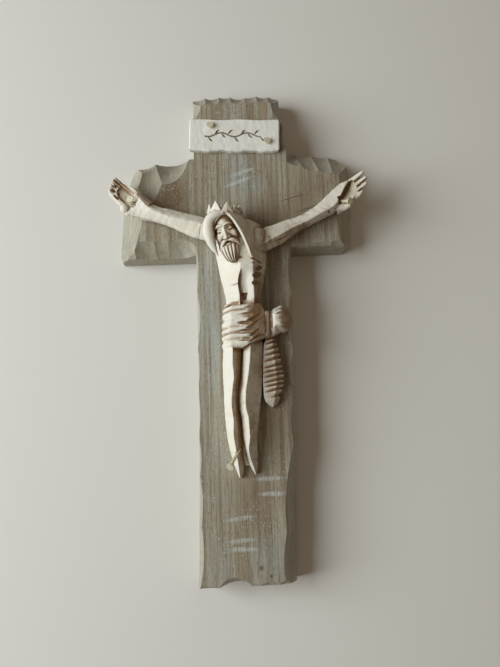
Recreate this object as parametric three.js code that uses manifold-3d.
// A carved wall cross with its figure, in millimetres. It lies on its back: the back face is z = 0, +Z comes
// out of the front and +Y runs up the post. The origin is on the back face, where the centre lines of the
// post and of the cross arms meet. Left and right are those of somebody who looks at the front.

import * as THREE from 'three';
import { mergeVertices } from 'three/addons/utils/BufferGeometryUtils.js';
import Module from 'manifold-3d';

// Boards of the cross
const boardThickness = 20;
const postWidth = 48.8;
const postTop = 65;
const postFoot = -190;
const postTopTaper = 2.8;
const postFootTaper = 3.4;
const postFootSway = 2.2;
const armTop = 30;
const leftArmUnder = -25;
const rightArmUnder = -22.6;
const rightArmRaise = 1.6;
const leftReach = 66;
const rightReach = 58.6;
const armCornerFall = 6;
const armEndFall = 20;
const armCornerRun = 8.5;
const cornerFillet = 2.6;
const glueLine = 0.1;

// Blind hole in the back, which hooks over a nail in the wall
const hangingHoleDiameter = 8;
const hangingHoleDepth = 11;
const hangingHoleUp = 37;

// Title board, a hand-cut slip that hangs a little lower on the right
const titleLeft = -26;
const titleWidth = 47.6;
const titleHeight = 17.4;
const titleTop = 47.3;
const titleDrop = 1.9;
const titleFootWave = 0.7;
const titleThickness = 3.6;
const titleRound = 0.5;
const titleNailInset = 11;
const titleNailMargin = 5.2;

// Wire nails
const shankDiameter = 1.6;
const nailHeadDiameter = 3.4;
const nailHeadThickness = 0.8;
const nailHeadCrown = 0.12;
const nailPoint = 2.4;
const nailClearance = 0.15;
const titleNailLength = 14;
const handNailLength = 19;
const footNailLength = 31;
const titleNailProud = 1.8;
const leftHandNailProud = 3.2;
const rightHandNailProud = 6.4;
const footNailProud = 9.6;

// Shoulder dowels
const dowelDiameter = 3;
const dowelLength = 11;
const dowelClearance = 0.15;

// Height levels of the figure along Y
const shoulderLevel = -15;
const chestLevel = -33;
const waistLevel = -51;
const clothTopLevel = -54.8;
const clothFootLevel = -76.5;
const kneeLevel = -100;
const calfLevel = -113;
const ankleLevel = -126;
const toeLevel = -138.6;

// How far each level of the figure stands in front of the cross, and its half width
const chestDepth = 16;
const waistDepth = 13;
const hipDepth = 15;
const kneeDepth = 13;
const ankleDepth = 9;
const webDepth = 7;
const shoulderHalf = 15.5;
const chestHalf = 11.8;
const waistHalf = 8.3;
const hipHalf = 9.8;
const ankleHalf = 2.9;
const leftLegHalf = 4;
const rightLegHalf = 4.6;
const trunkLean = -1;
const clothFold = 0.5;
const clothFolds = 7;

// Shoulder joints, where the separately carved arms are glued on, as x, y and height in front of the cross
const leftJoint = [-20.5, -13.9, 8.8];
const rightJoint = [12.6, -19.6, 8.8];
const leftArmRise = 20;
const rightArmRise = 26;
const leftHandRise = 40.5;
const rightHandRise = 39.7;
const armRootHalf = 4.8;
const armRootDepth = 4.2;
const wristHalf = 4;

// Hands: the middle of each palm, and the thickness of the hand
const leftPalm = [-54.6, 2.2];
const rightPalm = [50.8, 1.4];
const palmHalf = 5.2;
const handDepth = 3;
const fingerLength = 8;
const fingerWidth = 2.5;

// Knot and hanging end of the loincloth, carved separately and glued to the hip
const knotSeat = 9.6;
const knotReach = 23.6;
const knotLevel = -63;
const knotDepth = 13;
const tailFoot = -105.4;
const tailHalf = 5;
const tailDepth = 7.5;
const tailRibs = 11;
const tailRib = 0.55;

// Head: its centre as x, y and height in front of the cross, its lean to the left and its bow
const headCentre = [-7.6, -16.8, 14];
const headLean = 18;
const headBow = 14;
const faceHalf = 5.6;
const faceHeight = 9.4;
const hairHalf = 9.4;
const hairDepth = 8.6;
const beardLength = 7.6;
const crownLevel = 8;
const crownRing = 7;
const crownThickness = 1.3;
const thornLength = 5;
const thornHalf = 2;
const thornCount = 8;

const front = boardThickness;
const figureBack = front + glueLine;
const postHalf = postWidth / 2;
const axisY = new THREE.Vector3(0, 1, 0);
const axisZ = new THREE.Vector3(0, 0, 1);
const inFront = ([x, y, height]) => new THREE.Vector3(x, y, front + height);

const oak = new THREE.MeshStandardMaterial({ color: 0x85806f, roughness: 0.85, metalness: 0 });
const lime = new THREE.MeshStandardMaterial({ color: 0xd9cfb8, roughness: 0.65, metalness: 0 });
const limeSlip = new THREE.MeshStandardMaterial({ color: 0xcfc8b8, roughness: 0.75, metalness: 0 });
const beech = new THREE.MeshStandardMaterial({ color: 0xc8a87c, roughness: 0.7, metalness: 0 });
const brass = new THREE.MeshStandardMaterial({ color: 0xb9a26a, roughness: 0.35, metalness: 1 });

const wasm = await Module();
wasm.setup();

// A closed three.js geometry as a solid that can be joined and cut
function solid(geometry, matrix) {
  const bare = geometry.index ? geometry.toNonIndexed() : geometry.clone();
  for (const name of Object.keys(bare.attributes)) {
    if (name !== 'position') bare.deleteAttribute(name);
  }
  if (matrix) bare.applyMatrix4(matrix);
  const merged = mergeVertices(bare, 1e-4);
  return new wasm.Manifold(new wasm.Mesh({
    numProp: 3,
    vertProperties: merged.attributes.position.array,
    triVerts: new Uint32Array(merged.index.array),
  }));
}

// A solid as a named mesh
function piece(name, made, material) {
  const { numProp, vertProperties, triVerts } = made.getMesh();
  const positions = new Float32Array((vertProperties.length / numProp) * 3);
  for (let i = 0; i < positions.length / 3; i++) {
    positions.set(vertProperties.subarray(i * numProp, i * numProp + 3), i * 3);
  }
  const geometry = new THREE.BufferGeometry();
  geometry.setAttribute('position', new THREE.BufferAttribute(positions, 3));
  geometry.setIndex(new THREE.BufferAttribute(new Uint32Array(triVerts), 1));
  const flat = geometry.toNonIndexed();
  flat.computeVertexNormals();
  const mesh = new THREE.Mesh(flat, material);
  mesh.name = name;
  return mesh;
}

const join = (solids) => solids.reduce((whole, next) => whole.add(next));
const cut = (whole, cutters) => cutters.reduce((left, next) => left.subtract(next), whole);

// A box between two corners
function block(low, high) {
  const size = new THREE.Vector3().subVectors(high, low);
  const middle = new THREE.Vector3().addVectors(low, high).multiplyScalar(0.5);
  const geometry = new THREE.BoxGeometry(size.x, size.y, size.z);
  return solid(geometry, new THREE.Matrix4().makeTranslation(middle.x, middle.y, middle.z));
}

// A board of the cross, sawn to an outline
function board(outline) {
  const shape = new THREE.Shape(outline.map(([x, y]) => new THREE.Vector2(x, y)));
  return solid(new THREE.ExtrudeGeometry(shape, { depth: boardThickness, bevelEnabled: false }));
}

// A cylinder from one point to another
function rod(from, to, radius, sides = 16) {
  const along = new THREE.Vector3().subVectors(to, from);
  const geometry = new THREE.CylinderGeometry(radius, radius, along.length(), sides);
  const turn = new THREE.Quaternion().setFromUnitVectors(axisY, along.clone().normalize());
  const middle = new THREE.Vector3().addVectors(from, to).multiplyScalar(0.5);
  return solid(geometry, new THREE.Matrix4().compose(middle, turn, new THREE.Vector3(1, 1, 1)));
}

// An ellipsoid
function egg(centre, radii, matrix = new THREE.Matrix4(), fine = 12) {
  const place = new THREE.Matrix4().makeTranslation(...centre)
    .multiply(new THREE.Matrix4().makeScale(...radii));
  return solid(new THREE.SphereGeometry(1, fine, Math.round(fine * 0.7)), matrix.clone().multiply(place));
}

// A skin over oval stations: each has its centre x y z, its half width w across the path, its half depth d
// along Z, and may slant its ring by dy per dx. A power under 2 draws the oval towards a ridge.
function loft(stations, { sides = 14, power = 2, matrix = null } = {}) {
  const points = [];
  const faces = [];
  const rounded = (value) => Math.sign(value) * Math.abs(value) ** (2 / power);
  stations.forEach((s, i) => {
    const before = stations[Math.max(i - 1, 0)];
    const after = stations[Math.min(i + 1, stations.length - 1)];
    const along = new THREE.Vector2(after.x - before.x, after.y - before.y).normalize();
    for (let j = 0; j < sides; j++) {
      const angle = (2 * Math.PI * j) / sides;
      const across = rounded(Math.cos(angle)) * s.w;
      const dx = -along.y * across;
      const dy = along.x * across + (s.slant ?? 0) * dx;
      points.push(s.x + dx, s.y + dy, s.z + rounded(Math.sin(angle)) * s.d);
    }
  });
  for (let i = 0; i < stations.length - 1; i++) {
    for (let j = 0; j < sides; j++) {
      const a = i * sides + j;
      const b = i * sides + ((j + 1) % sides);
      faces.push(a, b, b + sides, a, b + sides, a + sides);
    }
  }
  const last = stations.length - 1;
  const firstCentre = points.length / 3;
  points.push(stations[0].x, stations[0].y, stations[0].z);
  points.push(stations[last].x, stations[last].y, stations[last].z);
  for (let j = 0; j < sides; j++) {
    const k = (j + 1) % sides;
    faces.push(firstCentre, k, j, firstCentre + 1, last * sides + j, last * sides + k);
  }
  const geometry = new THREE.BufferGeometry();
  geometry.setAttribute('position', new THREE.Float32BufferAttribute(points, 3));
  geometry.setIndex(faces);
  return solid(geometry, matrix);
}

// One gouge stroke across a front edge. It starts `leg` inside the edge and runs out and down at `slope`;
// `radius` is the sweep of the stroke, and `skew` turns it in the plane of the front.
function stroke({ x, y, out, leg, radius, slope = 45, skew = 0 }) {
  const outward = new THREE.Vector3(out[0], out[1], 0)
    .applyAxisAngle(axisZ, THREE.MathUtils.degToRad(skew));
  const angle = THREE.MathUtils.degToRad(slope);
  const run = outward.clone().multiplyScalar(Math.cos(angle)).addScaledVector(axisZ, -Math.sin(angle));
  const normal = outward.clone().multiplyScalar(Math.sin(angle)).addScaledVector(axisZ, Math.cos(angle));
  const middle = new THREE.Vector3(x, y, front)
    .addScaledVector(new THREE.Vector3(out[0], out[1], 0), -leg).addScaledVector(normal, radius);
  const half = 2.2 * boardThickness;
  const sides = Math.round(20 + radius * 0.9);
  const [start, end] = [-half, half].map((step) => middle.clone().addScaledVector(run, step));
  return rod(start, end, radius, sides);
}

// A row of strokes from one end of an edge to the other: the share of the edge, leg, radius, slope and skew
function strokesAlong([from, to], out, strokes) {
  const start = new THREE.Vector2(...from);
  const end = new THREE.Vector2(...to);
  return strokes.map(([share, leg, radius, slope, skew]) => {
    const at = start.clone().lerp(end, share);
    return stroke({ x: at.x, y: at.y, out, leg, radius, slope, skew });
  });
}

const left = [-1, 0];
const right = [1, 0];
const up = [0, 1];
const down = [0, -1];

// Nails: where the shank goes in, the way the head leans, how far the head stands out, and the length
const titleFront = front + titleThickness;
const palmFront = front + 2 * handDepth;
const leftFoot = -7.1;
const nailPlan = {
  title_nail_left: {
    at: [titleLeft + titleNailInset, titleTop - titleNailMargin + 0.8, titleFront],
    lean: [-0.1, 0.12, 1], proud: titleNailProud, length: titleNailLength,
  },
  title_nail_right: {
    at: [
      titleLeft + titleWidth - titleNailInset + 3.6,
      titleTop - titleHeight - titleDrop + titleNailMargin,
      titleFront,
    ],
    lean: [0.12, 0.05, 1], proud: titleNailProud, length: titleNailLength,
  },
  hand_nail_left: {
    at: [leftPalm[0] - 1.4, leftPalm[1] - 0.4, palmFront],
    lean: [-0.2, 0.1, 1], proud: leftHandNailProud, length: handNailLength,
  },
  hand_nail_right: {
    at: [rightPalm[0] + 0.4, rightPalm[1] - 3, palmFront],
    lean: [0.7, -0.35, 1], proud: rightHandNailProud, length: handNailLength,
  },
  foot_nail: {
    at: [leftFoot + 0.6, ankleLevel - 1.4, front + ankleDepth],
    lean: [-0.42, -0.73, 1], proud: footNailProud, length: footNailLength,
  },
};
const nails = Object.entries(nailPlan).map(([name, { at, lean, proud, length }]) => {
  const way = new THREE.Vector3(...lean).normalize();
  const head = new THREE.Vector3(...at).addScaledVector(way, proud);
  return { name, way, head, length, tip: head.clone().addScaledVector(way, -length) };
});

function nailSolid({ way, tip, length }) {
  const shank = shankDiameter / 2;
  const cap = nailHeadDiameter / 2;
  const under = length - nailHeadThickness;
  const profile = [
    [0, 0], [shank, nailPoint], [shank, under], [cap, under], [cap, length - nailHeadThickness / 3],
    [cap * 0.75, length], [0, length + nailHeadCrown],
  ].map(([x, y]) => new THREE.Vector2(x, y));
  const turn = new THREE.Quaternion().setFromUnitVectors(axisY, way);
  return solid(new THREE.LatheGeometry(profile, 14),
    new THREE.Matrix4().compose(tip, turn, new THREE.Vector3(1, 1, 1)));
}

// The holes that the shanks run in, a little wider than a shank and a little deeper than its tip
const nailHoles = nails.map(({ way, tip, head }) => rod(
  tip.clone().addScaledVector(way, -2 * nailClearance), head, shankDiameter / 2 + nailClearance, 12));

function makePost() {
  const outline = [
    [-postHalf - postFootSway, postFoot], [postHalf - postFootTaper, postFoot],
    [postHalf, (rightArmUnder + postFoot) / 2], [postHalf, armTop + cornerFillet],
    [postHalf - postTopTaper, postTop], [-postHalf - 0.4, postTop],
    [-postHalf, armTop + cornerFillet], [-postHalf, (leftArmUnder + postFoot) / 2],
  ];
  const [footLeft, footRight, , , topRight, topLeft] = outline;
  const topEdge = strokesAlong([topLeft, topRight], up, [
    [0.07, 9, 8, 50, 8], [0.24, 8, 6.5, 50, 4], [0.38, 7.4, 7, 50, 0], [0.52, 8.2, 7, 52, -4],
    [0.67, 7.8, 7.5, 50, 3], [0.81, 7.6, 6, 52, -5], [0.95, 9, 8, 52, -10],
  ]);
  const topSides = [
    stroke({ x: topLeft[0], y: postTop - 9, out: left, leg: 4.6, radius: 16, slope: 56, skew: -8 }),
    stroke({ x: topRight[0], y: postTop - 8, out: right, leg: 4.4, radius: 22, slope: 58, skew: 4 }),
    stroke({ x: postHalf, y: armTop + 8, out: right, leg: 1.6, radius: 30, slope: 55, skew: 3 }),
    stroke({ x: -postHalf, y: armTop + 8, out: left, leg: 1.4, radius: 30, slope: 55 }),
  ];
  const leftEdge = strokesAlong([[-postHalf, leftArmUnder], footLeft], left, [
    [0.05, 1.4, 60, 62], [0.2, 1.9, 70, 60], [0.36, 1.4, 55, 64], [0.5, 1.6, 60, 60, -1],
    [0.63, 1.9, 50, 58, -1], [0.76, 2.4, 80, 56, -1], [0.9, 2.6, 90, 55, -1],
  ]);
  const rightEdge = strokesAlong([[postHalf, rightArmUnder], footRight], right, [
    [0.08, 1.5, 60, 60], [0.24, 2, 65, 58], [0.4, 1.4, 50, 60], [0.53, 1.9, 60, 58, -1],
    [0.65, 1.6, 45, 60, -1], [0.82, 5.4, 120, 66, 1], [0.97, 6.4, 70, 66, 4],
  ]);
  const footEdge = strokesAlong([footLeft, footRight], down, [
    [0.1, 1.2, 20, 60], [0.3, 4.2, 9, 72, 22], [0.52, 1.6, 40, 66], [0.74, 2.2, 16, 62], [0.92, 3, 9, 64],
  ]);
  const hole = rod(new THREE.Vector3(0, hangingHoleUp, -1),
    new THREE.Vector3(0, hangingHoleUp, hangingHoleDepth), hangingHoleDiameter / 2, 24);
  const strokes = [...topEdge, ...topSides, ...leftEdge, ...rightEdge, ...footEdge];
  return cut(board(outline), [...strokes, hole, ...nailHoles]);
}

function makeLeftCrossArm() {
  const root = -postHalf - glueLine;
  const outline = [
    [root, leftArmUnder], [root, armTop + cornerFillet], [root - cornerFillet, armTop],
    [-leftReach + armCornerRun, armTop - armCornerFall], [-leftReach + 2.4, armTop - armEndFall],
    [-leftReach, -3], [-leftReach, leftArmUnder + 4], [-leftReach + 1.4, leftArmUnder],
  ];
  const corner = outline[3];
  const topEdge = strokesAlong([corner, outline[2]], up, [
    [0.04, 10, 9, 48, 34], [0.3, 7, 9, 50, 16], [0.55, 14, 10, 38, -14], [0.78, 5, 6, 56, -6],
    [0.94, 4.4, 7, 58, -24],
  ]);
  const endEdge = strokesAlong([corner, [-leftReach, leftArmUnder]], left, [
    [0.1, 8, 30, 52, -14], [0.5, 10, 60, 56], [0.86, 10, 24, 56, 4],
  ]);
  const underEdge = strokesAlong([outline[7], outline[0]], down, [
    [0.14, 7, 12, 50, -8], [0.32, 7.6, 9, 50, 6], [0.48, 7.8, 8, 50], [0.66, 7.6, 8, 52, 5],
    [0.86, 7.8, 12, 48, -10],
  ]);
  return cut(board(outline), [...topEdge, ...endEdge, ...underEdge, ...nailHoles]);
}

function makeRightCrossArm() {
  const root = postHalf + glueLine;
  const outline = [
    [root, rightArmUnder], [rightReach - 5, rightArmUnder], [rightReach - 0.6, rightArmUnder + 4.5],
    [rightReach, 0], [rightReach, armTop - armEndFall / 2], [rightReach - armCornerRun / 1.4, armTop],
    [root + cornerFillet, armTop + rightArmRaise], [root, armTop + cornerFillet],
  ];
  const topEdge = strokesAlong([outline[6], outline[5]], up, [
    [0, 5, 12, 50, 24], [0.26, 10.5, 12, 42, 14], [0.52, 13, 10, 40, 14], [0.78, 14, 9.5, 42, 8],
    [1, 15, 12, 46, -8],
  ]);
  const endEdge = strokesAlong([outline[4], outline[2]], right, [
    [0.2, 7, 26, 58, 8], [0.5, 7.4, 34, 60], [0.85, 8, 40, 62, -3],
  ]);
  const underEdge = strokesAlong([outline[0], outline[1]], down, [
    [0.2, 1.3, 30, 60], [0.6, 1.5, 34, 58], [0.92, 2.6, 14, 56],
  ]);
  return cut(board(outline), [...topEdge, ...endEdge, ...underEdge, ...nailHoles]);
}

function makeTitleBoard() {
  const titleFoot = titleTop - titleHeight;
  const titleRight = titleLeft + titleWidth;
  const middle = (titleLeft + titleRight) / 2;
  const outline = new THREE.Shape([
    [titleLeft + 0.6, titleFoot], [middle - 1, titleFoot - titleDrop / 3],
    [middle + 3, titleFoot - titleDrop / 2 - titleFootWave],
    [titleRight - 0.8, titleFoot - titleDrop - titleFootWave],
    [titleRight, titleTop - titleDrop], [middle + 2, titleTop - titleDrop / 2 + 0.5],
    [middle - 3, titleTop - titleDrop / 2], [titleLeft, titleTop],
  ].map(([x, y]) => new THREE.Vector2(x, y)));
  const geometry = new THREE.ExtrudeGeometry(outline, {
    depth: titleThickness - 2 * titleRound,
    bevelThickness: titleRound,
    bevelSize: titleRound,
    bevelOffset: -titleRound,
    bevelSegments: 2,
  });
  const slip = solid(geometry, new THREE.Matrix4().makeTranslation(0, 0, front + titleRound));
  return cut(slip, nailHoles);
}

// The figure's head, made upright round its own centre and then set on the shoulders
const headPlace = new THREE.Matrix4().makeTranslation(...inFront(headCentre))
  .multiply(new THREE.Matrix4().makeRotationZ(THREE.MathUtils.degToRad(headLean)))
  .multiply(new THREE.Matrix4().makeRotationX(THREE.MathUtils.degToRad(headBow)));

function makeHair() {
  const hood = loft([
    { x: 0, y: 11, z: -1, w: 3.6, d: 3.6 },
    { x: 0, y: 9, z: -1, w: hairHalf * 0.66, d: hairDepth * 0.72 },
    { x: 0, y: 4.5, z: -1, w: hairHalf * 0.86, d: hairDepth * 0.94 },
    { x: 0, y: -1, z: -1, w: hairHalf * 0.98, d: hairDepth },
    { x: 0.4, y: -7, z: -1, w: hairHalf, d: hairDepth * 0.92 },
    { x: 0.6, y: -12, z: -2, w: hairHalf * 0.9, d: hairDepth * 0.7 },
    { x: 1, y: -15, z: -3, w: hairHalf * 0.7, d: hairDepth * 0.4 },
  ], { matrix: headPlace, sides: 18 });
  const opening = loft([
    { x: 0, y: 6.2, z: 9, w: 2.6, d: 3 },
    { x: 0, y: 4, z: 9, w: faceHalf - 0.8, d: 6 },
    { x: 0, y: -2, z: 9, w: faceHalf + 1, d: 8 },
    { x: 0.2, y: -10, z: 9, w: faceHalf + 1.6, d: 9 },
    { x: 0.4, y: -20, z: 9, w: faceHalf + 0.6, d: 9 },
  ], { matrix: headPlace });
  return hood.subtract(opening);
}

function makeCrown() {
  const band = solid(new THREE.TorusGeometry(crownRing, crownThickness, 8, 24), headPlace.clone()
    .multiply(new THREE.Matrix4().makeTranslation(0, crownLevel, -1))
    .multiply(new THREE.Matrix4().makeRotationX(Math.PI / 2)));
  const thorns = Array.from({ length: thornCount }, (_, i) => {
    const angle = (2 * Math.PI * (i + 0.5)) / thornCount;
    const place = headPlace.clone().multiply(new THREE.Matrix4().makeTranslation(
      crownRing * Math.cos(angle), crownLevel + thornLength / 2 + crownThickness / 2,
      -1 + crownRing * Math.sin(angle)));
    return solid(new THREE.ConeGeometry(thornHalf, thornLength, 5), place);
  });
  return join([band, ...thorns]);
}

function makeFace() {
  const skull = egg([0, -0.5, 0], [faceHalf + 0.4, faceHeight, 7.6], headPlace, 18);
  const nose = loft([
    { x: 0, y: 1, z: 7.2, w: 0.8, d: 0.6 },
    { x: 0, y: -2, z: 7.6, w: 1, d: 1.2 },
    { x: 0, y: -4, z: 7.7, w: 1.5, d: 1.8 },
    { x: 0, y: -4.8, z: 7, w: 1.2, d: 0.8 },
  ], { matrix: headPlace, sides: 8 });
  const brow = loft([
    { x: -4.2, y: 1.6, z: 4.8, w: 0.6, d: 0.8 },
    { x: 0, y: 1.7, z: 7, w: 0.8, d: 1 },
    { x: 4.2, y: 1.6, z: 4.8, w: 0.6, d: 0.8 },
  ], { matrix: headPlace, sides: 8 });
  const sockets = [-2.4, 2.4].map((x) => egg([x, 0, 7.8], [1.7, 1.3, 1.5], headPlace, 10));
  const lids = [-2.4, 2.4].map((x) => egg([x, -0.2, 5.8], [1.3, 0.8, 1.1], headPlace, 10));
  return join([cut(skull, sockets), nose, brow, ...lids]);
}

function makeBeard() {
  const chin = -faceHeight + 1;
  const foot = chin - beardLength;
  const mass = loft([
    { x: 0, y: -3.5, z: 3.4, w: faceHalf - 0.8, d: 3 },
    { x: 0, y: -7, z: 4.4, w: faceHalf - 0.2, d: 3.8 },
    { x: 0.2, y: chin - 2, z: 4.8, w: faceHalf - 0.8, d: 3.8 },
    { x: 0.4, y: foot + 2.5, z: 4.4, w: faceHalf * 0.5, d: 3 },
    { x: 0.5, y: foot, z: 3.4, w: 1.2, d: 1.4 },
  ], { matrix: headPlace, power: 1.8 });
  const moustache = [-1, 1].map((side) => loft([
    { x: 0, y: -5.6, z: 7.6, w: 0.9, d: 1 },
    { x: side * 2.4, y: -6.4, z: 7, w: 0.9, d: 1.1 },
    { x: side * 4, y: -8.4, z: 6, w: 0.5, d: 0.8 },
  ], { matrix: headPlace, sides: 8 }));
  const locks = [-3, -1, 1, 3].map((x) => loft([
    { x: x * 1.1, y: -8.2, z: 9, w: 0.35, d: 0.8 },
    { x, y: -11, z: 8.8, w: 0.6, d: 1.5 },
    { x: 0.3 + x * 0.5, y: foot - 1, z: 7.4, w: 0.5, d: 1.6 },
  ], { matrix: headPlace, sides: 6 }));
  return join([cut(mass, locks), ...moustache]);
}

// An oval station of the trunk, from the cross to a depth in front of it
const trunk = (x, y, w, depth, slant = 0) =>
  ({ x: trunkLean + x, y, z: front + depth / 2 - 1, w, d: depth / 2 + 1, slant });

function makeTrunk() {
  return loft([
    trunk(-4, shoulderLevel + 6.5, 7, 10.5),
    trunk(-3, shoulderLevel + 3, 13.5, 12.5, -0.12),
    trunk(-1.6, shoulderLevel - 2.5, shoulderHalf, chestDepth - 1.5, -0.14),
    trunk(-0.2, (shoulderLevel + chestLevel) / 2, (shoulderHalf + chestHalf) / 2 + 0.4, chestDepth, -0.1),
    trunk(0.5, chestLevel, chestHalf, chestDepth, -0.05),
    trunk(0.2, (chestLevel + waistLevel) / 2, (chestHalf + waistHalf) / 2 - 0.2, chestDepth - 1),
    trunk(0, waistLevel, waistHalf, waistDepth),
    trunk(0, clothTopLevel - 6, waistHalf + 0.4, waistDepth),
  ], { sides: 20, power: 2.3 });
}

// The way an arm points at its shoulder joint
function armWay(side, rise) {
  const angle = THREE.MathUtils.degToRad(rise);
  return new THREE.Vector3(side * Math.cos(angle), Math.sin(angle), -0.05).normalize();
}

const leftShoulder = { joint: inFront(leftJoint), way: armWay(-1, leftArmRise) };
const rightShoulder = { joint: inFront(rightJoint), way: armWay(1, rightArmRise) };

// The stub of a shoulder that a carved arm is glued to
function makeStub({ joint, way }) {
  const inner = joint.clone().addScaledVector(way, -9);
  return loft([
    { x: inner.x, y: inner.y, z: inner.z - 1, w: armRootHalf + 2.4, d: armRootDepth + 1.6 },
    { x: joint.x, y: joint.y, z: joint.z, w: armRootHalf, d: armRootDepth },
  ]);
}

// A block that ends flat at a shoulder joint: on the body's side of it, or with side 1 on the arm's side
function besideJoint({ joint, way }, side, gap = 0) {
  const size = 2 * shoulderHalf;
  const place = new THREE.Matrix4().makeRotationZ(Math.atan2(way.y, way.x))
    .setPosition(joint.clone().addScaledVector(way, gap))
    .multiply(new THREE.Matrix4().makeTranslation(side * size / 2, 0, 0));
  return solid(new THREE.BoxGeometry(size, 2 * size, 2 * size), place);
}

function dowelEnds({ joint, way }, clearance = 0) {
  const half = dowelLength / 2 + clearance;
  return [joint.clone().addScaledVector(way, -half), joint.clone().addScaledVector(way, half)];
}

const makeDowel = (shoulder) => rod(...dowelEnds(shoulder), dowelDiameter / 2);
const dowelHole = (shoulder) => rod(
  ...dowelEnds(shoulder, 2 * dowelClearance), dowelDiameter / 2 + dowelClearance);

function makeCloth() {
  const rings = [];
  const height = clothTopLevel - clothFootLevel;
  for (let i = 0; i <= 2 * clothFolds; i++) {
    const share = i / (2 * clothFolds);
    const swell = i % 2 ? clothFold : -clothFold;
    const level = clothTopLevel - share * height;
    rings.push(trunk(0.2, level, hipHalf + swell, hipDepth + 2 * swell, 0.24 * share));
  }
  return loft(rings, { sides: 20, power: 2.2 });
}

function makeLeg({ hip, knee, calf, ankle, toe, half }) {
  const shin = (ankle + calf) / 2;
  return loft([
    trunk(hip, clothFootLevel + 9, half - 0.4, hipDepth - 3),
    trunk(hip, clothFootLevel - 2, half, hipDepth - 1.5),
    trunk(knee, kneeLevel, half - 0.3, kneeDepth),
    trunk(calf, calfLevel, half - 0.6, kneeDepth - 1.5),
    trunk(shin, (calfLevel + ankleLevel) / 2, ankleHalf + 0.6, ankleDepth + 1.8),
    trunk(ankle, ankleLevel, ankleHalf, ankleDepth),
    trunk((ankle + toe) / 2, (ankleLevel + toeLevel) / 2 - 1, ankleHalf - 0.3, ankleDepth - 1.5),
    trunk(toe, toeLevel, 0.7, 3.4),
  ], { power: 1.7 });
}

// Wood left standing between the legs
function makeWeb() {
  return loft([
    trunk(-1.6, clothFootLevel + 6, 5, webDepth + 4),
    trunk(-2, kneeLevel, 5, webDepth + 2),
    trunk(-2, ankleLevel, 3.4, webDepth),
    trunk(-1.2, ankleLevel - 5, 1.4, webDepth / 2),
  ]);
}

// Knife and gouge cuts on the chest: the hollow below the breastbone, ribs on the right flank, the navel
function chestCuts() {
  const middle = trunkLean + 1.2;
  const channel = loft([
    { x: middle, y: chestLevel - 3, z: front + chestDepth + 1, w: 1, d: 1.4 },
    { x: middle, y: chestLevel - 9, z: front + chestDepth + 0.4, w: 2.4, d: 3 },
    { x: middle, y: clothTopLevel, z: front + waistDepth + 1.2, w: 2.4, d: 3 },
  ]);
  const navel = egg([middle, waistLevel - 1.2, front + waistDepth - 1.6], [1.1, 1, 1.6], undefined, 8);
  const ribs = [0, 1, 2].map((i) => egg(
    [trunkLean + chestHalf - 1.4 - 0.8 * i, chestLevel - 1.5 - 4.2 * i, front + chestDepth - 2.8],
    [3, 1.2, 2.4], undefined, 10));
  return [channel, navel, ...ribs];
}

// A slab that reaches from the cross face backwards, to trim every carved back flat
const behind = block(new THREE.Vector3(-200, -300, -50), new THREE.Vector3(200, 200, figureBack));

function makeBody() {
  const solids = [
    makeTrunk(), makeStub(leftShoulder), makeStub(rightShoulder), makeCloth(), makeWeb(),
    makeLeg({ hip: -6.6, knee: -6.8, calf: -6.6, ankle: leftFoot - trunkLean, toe: -4.4, half: leftLegHalf }),
    makeLeg({ hip: 4.2, knee: 2.7, calf: 2, ankle: 2.3, toe: 3.7, half: rightLegHalf }),
    makeHair(), makeFace(), makeBeard(), makeCrown(),
  ];
  const hip = block(new THREE.Vector3(knotSeat - glueLine, clothFootLevel - 8, front - 5),
    new THREE.Vector3(knotSeat + 30, clothTopLevel + 2, front + 40));
  return cut(join(solids), [
    ...chestCuts(), behind, hip, besideJoint(leftShoulder, 1), besideJoint(rightShoulder, 1),
    dowelHole(leftShoulder), dowelHole(rightShoulder), ...nailHoles,
  ]);
}

// A hand at a palm point, reaching the way of a unit vector: palm, four curled fingers and a thumb
function makeHand([x, y], [ax, ay], side) {
  const at = (along, across) => [x + ax * along - ay * across * side, y + ay * along + ax * across * side];
  const palmPath = [
    [-7, 0, wristHalf, 3.6], [-1, 0, palmHalf, 3.4], [3, 0, palmHalf, handDepth],
    [6, 0.2, palmHalf - 0.6, 2.2],
  ];
  const palm = loft(palmPath.map(([along, across, w, d]) => {
    const [px, py] = at(along, across);
    return { x: px, y: py, z: front + handDepth + 0.5, w, d };
  }), { power: 2.3 });
  const fingers = [-1.5, -0.5, 0.5, 1.5].map((place) => {
    const across = place * fingerWidth;
    const reach = fingerLength * (1 - 0.07 * Math.abs(place - 0.4));
    return loft([[3.6, 3.4, 0.5, 1.7], [5.4 + reach / 2, 3.4, 0.52, 1.5], [5.4 + reach, 5.2, 0.36, 1]].map(
      ([along, height, w, d]) => {
        const [px, py] = at(along, across);
        return { x: px, y: py, z: front + height, w: w * fingerWidth, d };
      }), { sides: 8 });
  });
  const thumbPath = [[-3, -4, 3, 1.8], [1.4, -5.8, 4, 1.7], [4.6, -5, 5, 1.1]];
  const thumb = loft(thumbPath.map(([along, across, height, w]) => {
    const [px, py] = at(along, across);
    return { x: px, y: py, z: front + height, w, d: w };
  }), { sides: 10 });
  const [hx, hy] = at(2, 0);
  const hollow = egg([hx, hy, front + 2 * handDepth + 2.2], [3.6, 3.6, 3]);
  return join([palm.subtract(hollow), ...fingers, thumb]);
}

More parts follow.
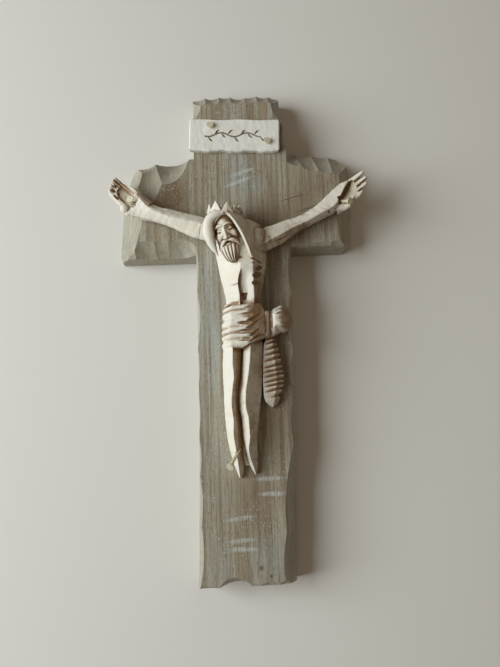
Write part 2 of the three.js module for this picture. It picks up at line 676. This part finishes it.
// An arm from its shoulder joint over its stations to the wrist, and the hand. A station lies at a share of
// the way to the palm. It sags below the straight line by a share of that way, and it has come down towards
// the cross by a share of the drop. Its half width and half depth are shares of those at the root.
function makeArm({ shoulder, side, stations, palm, rise }) {
  const root = shoulder.joint.clone().addScaledVector(shoulder.way, 2 * glueLine);
  const palmMiddle = new THREE.Vector3(...palm, front + handDepth + 0.5);
  const run = palmMiddle.clone().sub(shoulder.joint);
  const sagWay = new THREE.Vector3(side * run.y, -side * run.x, 0);
  const limb = loft([
    { x: root.x, y: root.y, z: root.z, w: armRootHalf, d: armRootDepth },
    ...stations.map(([share, sag, drop, w, d]) => ({
      x: shoulder.joint.x + share * run.x + sag * sagWay.x,
      y: shoulder.joint.y + share * run.y + sag * sagWay.y,
      z: shoulder.joint.z + drop * run.z, w: w * armRootHalf, d: d * armRootDepth,
    })),
    { x: palmMiddle.x, y: palmMiddle.y, z: palmMiddle.z, w: wristHalf, d: 0.62 * armRootDepth },
  ], { power: 1.8 });
  const angle = THREE.MathUtils.degToRad(rise);
  const hand = makeHand(palm, [side * Math.cos(angle), Math.sin(angle)], side);
  const cuts = [behind, besideJoint(shoulder, -1, 2 * glueLine), dowelHole(shoulder), ...nailHoles];
  return cut(join([limb, hand]), cuts);
}

function makeLeftArm() {
  return makeArm({
    shoulder: leftShoulder, side: -1, palm: leftPalm, rise: leftHandRise,
    stations: [
      [0.19, 0.034, 0.075, 0.98, 1], [0.375, 0.045, 0.26, 0.83, 0.93], [0.563, 0.051, 0.49, 0.875, 0.9],
      [0.759, 0.039, 0.72, 0.96, 0.857],
    ],
  });
}

function makeRightArm() {
  return makeArm({
    shoulder: rightShoulder, side: 1, palm: rightPalm, rise: rightHandRise,
    stations: [
      [0.27, 0.046, 0.11, 0.94, 0.98], [0.455, 0.067, 0.3, 0.79, 0.9], [0.643, 0.06, 0.53, 0.85, 0.88],
      [0.81, 0.039, 0.755, 0.96, 0.83],
    ],
  });
}

// The knot at the hip and the pleated end that hangs from it
function makeClothEnd() {
  const reach = knotReach - knotSeat;
  const knot = loft([
    [-0.1, -1, 9, 0.9], [0.22, -0.6, 7.2, 0.92], [0.4, 0.2, 6.4, 0.9], [0.62, 0.8, 7.4, 0.95],
    [0.86, 0.4, 5.6, 0.8], [1, 0.2, 2.6, 0.5],
  ].map(([share, lift, w, depth]) => ({
    x: knotSeat + share * reach, y: knotLevel + lift, z: front + knotDepth / 2, w, d: depth * knotDepth / 2,
  })), { sides: 14, power: 1.8 });
  const folds = [-3.4, -0.4, 2.6].map((y) => loft([
    { x: knotSeat - 2, y: knotLevel + 1.6 * y, z: front + knotDepth, w: 0.5, d: 1 },
    { x: knotSeat + 2.2, y: knotLevel + 1.1 * y, z: front + knotDepth - 0.4, w: 0.9, d: 1.8 },
    { x: knotSeat + 5.4, y: knotLevel + 0.7 * y + 1, z: front + knotDepth - 0.2, w: 0.3, d: 1 },
  ], { sides: 6 }));
  const top = knotLevel - 4;
  const ribbed = tailFoot + 5;
  const rings = [];
  for (let i = 0; i <= 2 * tailRibs; i++) {
    const share = i / (2 * tailRibs);
    const swell = i % 2 ? tailRib : -tailRib;
    rings.push({
      x: knotSeat + 2.6 + 1.6 * Math.sin(0.7 * Math.PI * share), y: top - share * (top - ribbed),
      z: front + tailDepth / 2 - share, w: tailHalf * (0.7 + 0.3 * Math.sin(Math.PI * share)) + swell,
      d: tailDepth / 2 + 0.6 - share + swell, slant: 0.1,
    });
  }
  rings.push({ x: knotSeat + 3.4, y: tailFoot, z: front + tailDepth / 3, w: 0.8, d: 1.6 });
  const hanging = loft(rings, { sides: 12, power: 2.4 });
  const beside = block(new THREE.Vector3(knotSeat - 60, tailFoot - 5, front - 5),
    new THREE.Vector3(knotSeat, clothTopLevel + 30, front + 40));
  return cut(join([cut(knot, folds), hanging]), [behind, beside]);
}

const cross = new THREE.Group();
cross.name = 'carved_cross';
cross.add(
  piece('post', makePost(), oak),
  piece('cross_arm_left', makeLeftCrossArm(), oak),
  piece('cross_arm_right', makeRightCrossArm(), oak),
  piece('title_board', makeTitleBoard(), limeSlip),
  piece('corpus_body', makeBody(), lime),
  piece('corpus_arm_left', makeLeftArm(), lime),
  piece('corpus_arm_right', makeRightArm(), lime),
  piece('loincloth_end', makeClothEnd(), lime),
  piece('shoulder_dowel_left', makeDowel(leftShoulder), beech),
  piece('shoulder_dowel_right', makeDowel(rightShoulder), beech),
  ...nails.map((nail) => piece(nail.name, nailSolid(nail), brass)),
);

export default cross;
